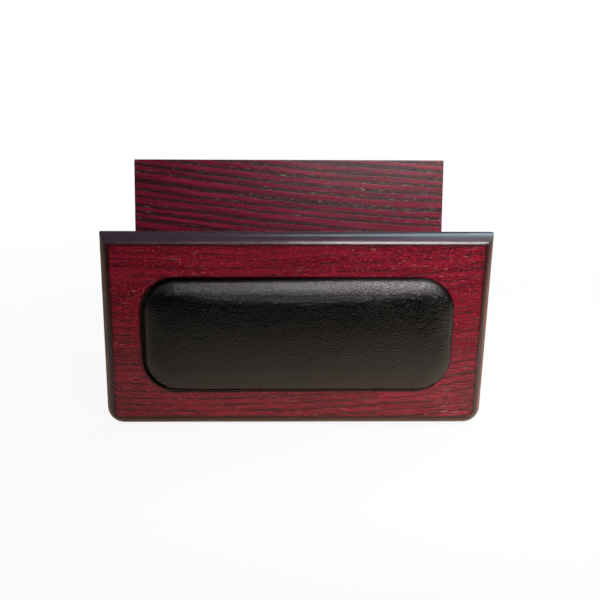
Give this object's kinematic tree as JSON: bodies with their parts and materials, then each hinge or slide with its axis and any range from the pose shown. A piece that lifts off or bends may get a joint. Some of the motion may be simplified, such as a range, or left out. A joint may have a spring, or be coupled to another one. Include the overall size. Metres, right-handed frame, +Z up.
{
  "type": "desk letter rack",
  "caption": "Upright desk rack with a padded front panel, a taller leaning back panel and an open compartment between them for letters.",
  "frame": {"origin": "on the desk surface, under the middle of the rack's outer box", "axes": "+Z up; the padded front panel faces -Y; +X to the right as seen from the front"},
  "size_m": [0.19, 0.105, 0.1259],
  "materials": {
    "stained_veneer": "red-stained open-grained ash veneer, satin lacquer",
    "painted_edge": "fibreboard core with dark painted and lacquered edges",
    "leather": "smooth black leather, fine grain, soft sheen",
    "foam": "pale open-cell foam",
    "fibreboard": "bare hardboard",
    "beech": "bare beech",
    "felt": "dense black felt"
  },
  "bodies": {
    "root": {"front_panel": "painted_edge", "front_face_veneer": "stained_veneer", "front_rear_veneer": "stained_veneer", "pad_stiffener": "fibreboard", "pad_foam": "foam", "pad_cover": "leather", "back_panel": "painted_edge", "back_face_veneer": "stained_veneer", "back_rear_veneer": "stained_veneer", "base_board": "painted_edge", "base_top_veneer": "stained_veneer", "base_under_veneer": "stained_veneer", "front_dowels": "beech", "back_dowels": "beech", "foot_front_left": "felt", "foot_front_right": "felt", "foot_back_left": "felt", "foot_back_right": "felt"}
  },
  "joints": []
}
